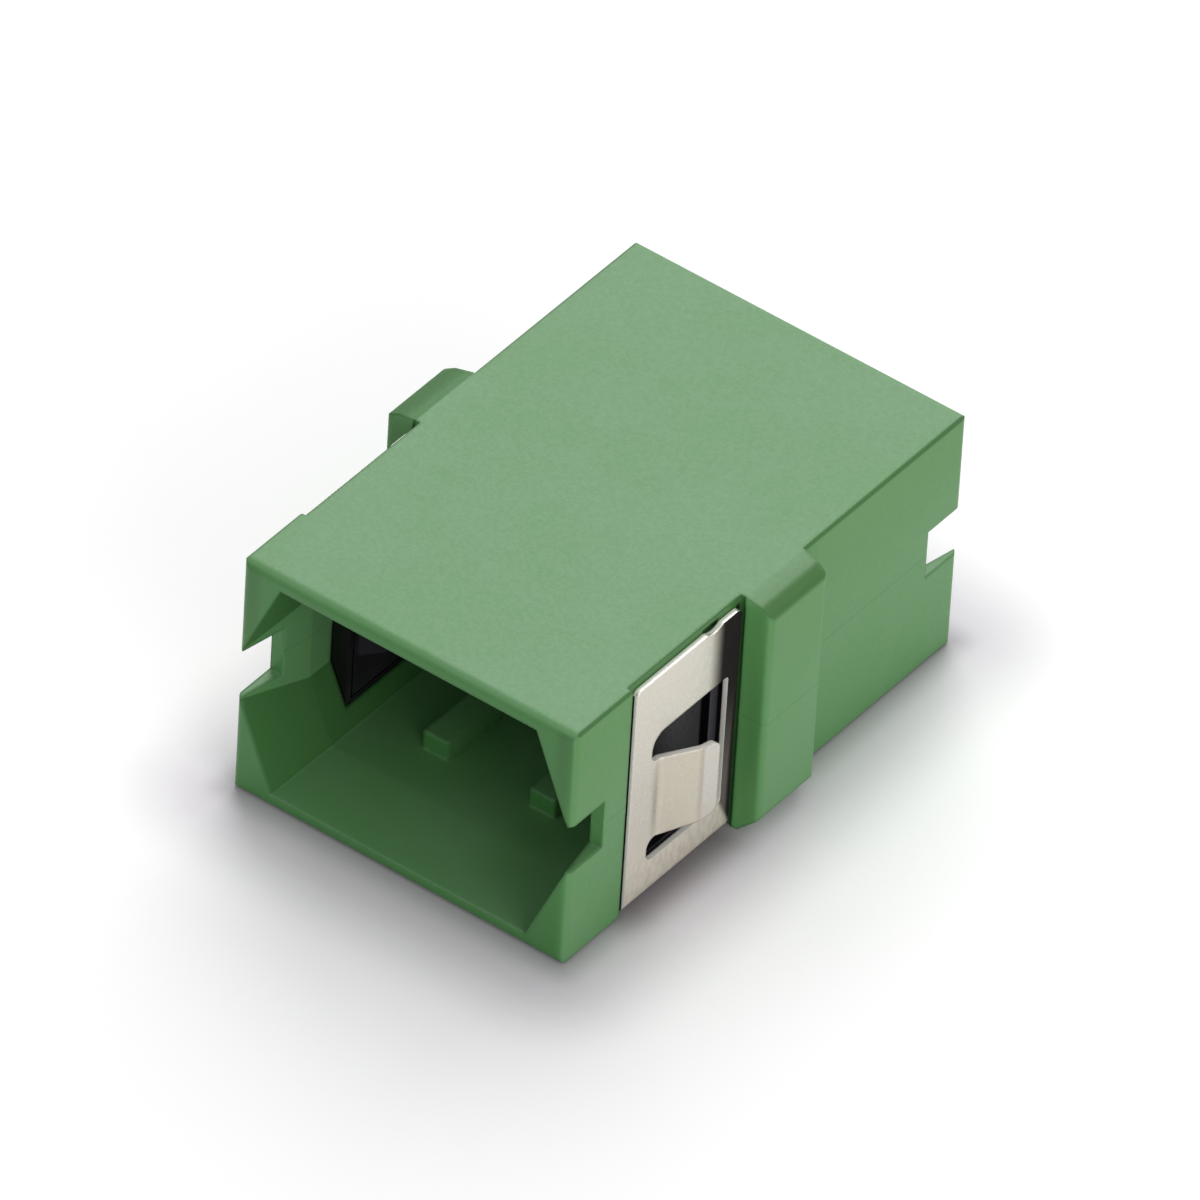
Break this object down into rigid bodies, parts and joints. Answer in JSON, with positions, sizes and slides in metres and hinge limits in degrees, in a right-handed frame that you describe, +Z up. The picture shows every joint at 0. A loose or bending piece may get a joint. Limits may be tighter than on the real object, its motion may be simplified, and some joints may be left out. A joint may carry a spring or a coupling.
{
  "type": "mpo fibre coupler",
  "caption": "Flanged in-line coupler that joins two multi-fibre push-pull plugs end to end, with a steel spring clip that holds it in a panel cut-out.",
  "frame": {"origin": "centre of the base, midway along the plug axis", "axes": "+Y along the plug axis from the port on the clip's side to the other port, +X across, +Z up"},
  "size_m": [0.0152, 0.0202, 0.0094],
  "materials": {
    "green_plastic": "fine satin moulded surface",
    "black_plastic": "moulded",
    "spring_steel": "semi-bright rolled strip"
  },
  "bodies": {
    "root": {"upper_housing": "green_plastic", "lower_housing": "green_plastic", "front_latch": "black_plastic", "rear_latch": "black_plastic", "panel_clip": "spring_steel"}
  },
  "joints": []
}
